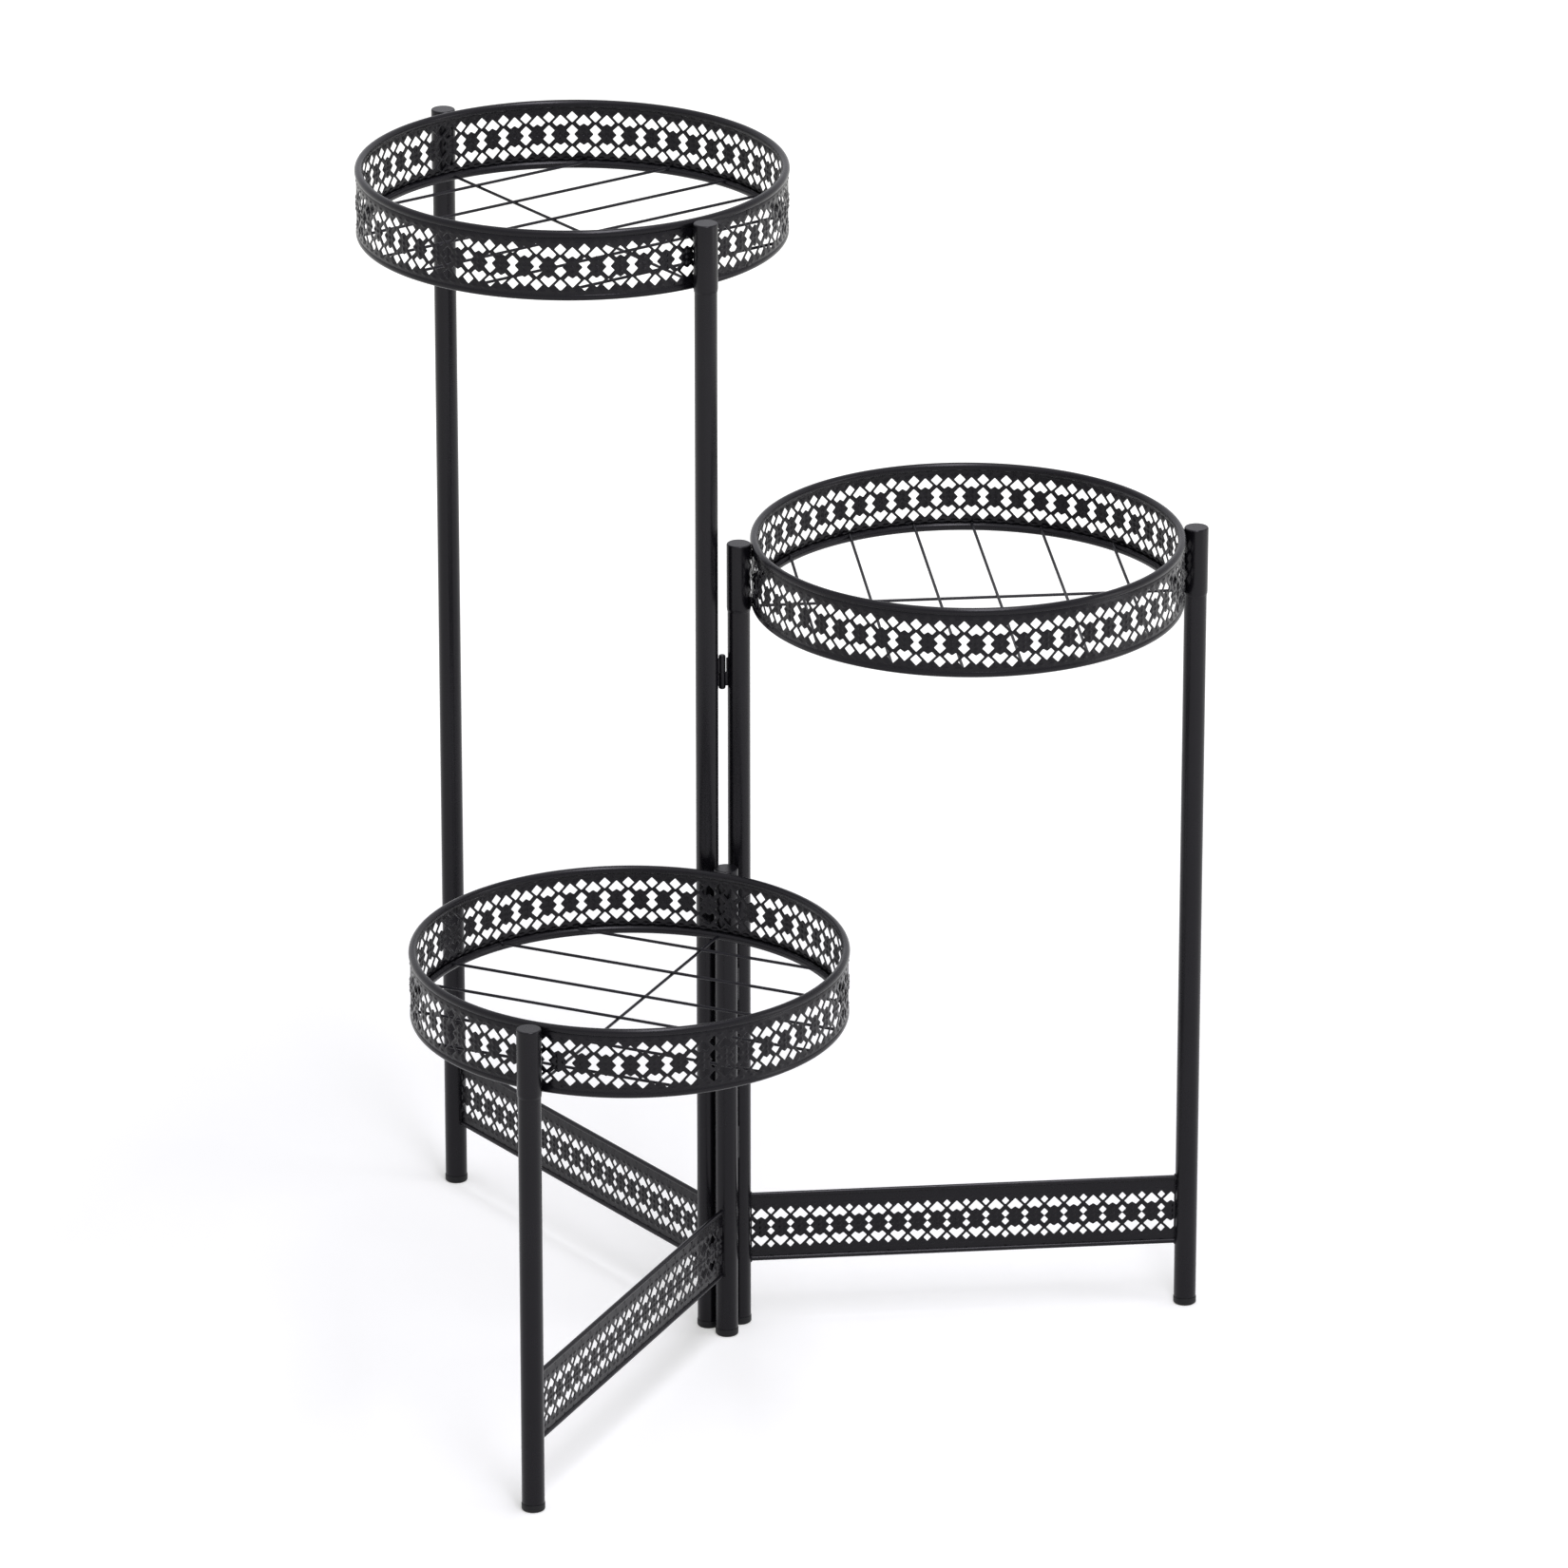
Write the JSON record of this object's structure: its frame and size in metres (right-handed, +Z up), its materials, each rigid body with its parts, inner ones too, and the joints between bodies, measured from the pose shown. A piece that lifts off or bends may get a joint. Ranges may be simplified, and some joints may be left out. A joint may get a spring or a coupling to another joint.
{
  "type": "tiered plant stand",
  "caption": "Folding stand of three stepped two-legged frames hinged at a common hub, each carrying a lift-off round tray with a pierced band and a wire floor for a plant pot.",
  "frame": {"origin": "on the floor, under the middle of the middle frame's hub leg", "axes": "+Z up along the legs; +X along the middle frame, from its hub leg to its outer leg"},
  "size_m": [0.4964, 0.5077, 0.7036],
  "materials": {
    "powder_coat": "fine satin powder coat, charcoal",
    "wire_coat": "fine satin powder coat on drawn wire",
    "pin_steel": "bare drawn steel",
    "foot_plastic": "moulded matt black"
  },
  "bodies": {
    "middle_frame": {"middle_hub_leg": "powder_coat", "middle_outer_leg": "powder_coat", "middle_hub_foot": "foot_plastic", "middle_outer_foot": "foot_plastic", "middle_brace_top_rail": "powder_coat", "middle_brace_bottom_rail": "powder_coat", "middle_brace_panel": "powder_coat", "tall_hinge_upper_fixed_knuckle": "powder_coat", "tall_hinge_upper_pin": "pin_steel", "tall_hinge_lower_fixed_knuckle": "powder_coat", "tall_hinge_lower_pin": "pin_steel", "low_hinge_upper_fixed_knuckle": "powder_coat", "low_hinge_upper_pin": "pin_steel", "low_hinge_lower_fixed_knuckle": "powder_coat", "low_hinge_lower_pin": "pin_steel"},
    "tall_frame": {"tall_hub_leg": "powder_coat", "tall_outer_leg": "powder_coat", "tall_hub_foot": "foot_plastic", "tall_outer_foot": "foot_plastic", "tall_brace_top_rail": "powder_coat", "tall_brace_bottom_rail": "powder_coat", "tall_brace_panel": "powder_coat", "tall_hinge_upper_moving_knuckle": "powder_coat", "tall_hinge_lower_moving_knuckle": "powder_coat"},
    "low_frame": {"low_hub_leg": "powder_coat", "low_outer_leg": "powder_coat", "low_hub_foot": "foot_plastic", "low_outer_foot": "foot_plastic", "low_brace_top_rail": "powder_coat", "low_brace_bottom_rail": "powder_coat", "low_brace_panel": "powder_coat", "low_hinge_upper_moving_knuckle": "powder_coat", "low_hinge_lower_moving_knuckle": "powder_coat"},
    "tall_tray": {"tall_tray_band": "powder_coat", "tall_tray_rim": "powder_coat", "tall_tray_floor_ring": "powder_coat", "tall_tray_floor_wires": "wire_coat", "tall_tray_cross_wire": "wire_coat", "tall_tray_hub_socket": "powder_coat", "tall_tray_outer_socket": "powder_coat"},
    "middle_tray": {"middle_tray_band": "powder_coat", "middle_tray_rim": "powder_coat", "middle_tray_floor_ring": "powder_coat", "middle_tray_floor_wires": "wire_coat", "middle_tray_cross_wire": "wire_coat", "middle_tray_hub_socket": "powder_coat", "middle_tray_outer_socket": "powder_coat"},
    "low_tray": {"low_tray_band": "powder_coat", "low_tray_rim": "powder_coat", "low_tray_floor_ring": "powder_coat", "low_tray_floor_wires": "wire_coat", "low_tray_cross_wire": "wire_coat", "low_tray_hub_socket": "powder_coat", "low_tray_outer_socket": "powder_coat"}
  },
  "joints": [
    {"name": "fold_tall", "type": "hinge", "parent": "middle_frame", "child": "tall_frame", "pos_m": [-0.01001, 0.00006, 0.2], "axis": [0, 0, 1], "range_deg": [-105, 5]},
    {"name": "fold_low", "type": "hinge", "parent": "middle_frame", "child": "low_frame", "pos_m": [-0.00325, -0.00947, 0.2], "axis": [0, 0, 1], "range_deg": [-5, 105]},
    {"name": "lift_tall_tray", "type": "slide", "parent": "tall_frame", "child": "tall_tray", "axis": [0, 0, 1], "range_m": [0, 0.05]},
    {"name": "lift_middle_tray", "type": "slide", "parent": "middle_frame", "child": "middle_tray", "axis": [0, 0, 1], "range_m": [0, 0.05]},
    {"name": "lift_low_tray", "type": "slide", "parent": "low_frame", "child": "low_tray", "axis": [0, 0, 1], "range_m": [0, 0.05]}
  ]
}
